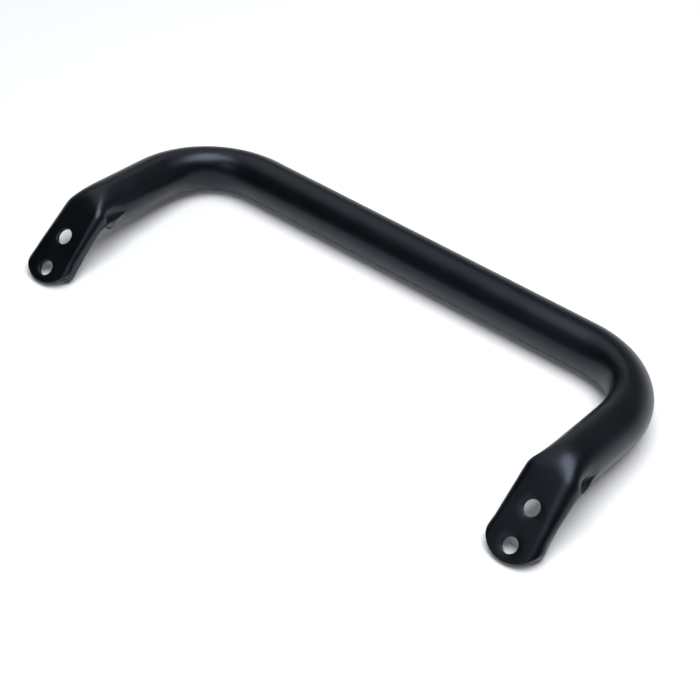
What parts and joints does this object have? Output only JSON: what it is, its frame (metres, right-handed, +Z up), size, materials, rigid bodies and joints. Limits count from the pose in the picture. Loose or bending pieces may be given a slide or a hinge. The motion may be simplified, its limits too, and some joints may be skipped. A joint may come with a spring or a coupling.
{
  "type": "bed assist rail",
  "caption": "U-shaped grab handle bent from round steel tube, with short legs and flattened, sloping feet drilled for bolts; satin black powder coat.",
  "frame": {"origin": "on the flat surface the rail lies on, below the middle of its bounding box", "axes": "+X along the straight bar, +Y from the feet towards the bar, +Z up from the surface it lies on"},
  "size_m": [0.3344, 0.146, 0.0353],
  "materials": {
    "powder_coat": "satin black powder coat"
  },
  "bodies": {
    "root": {"assist_rail_tube": "powder_coat"}
  },
  "joints": []
}
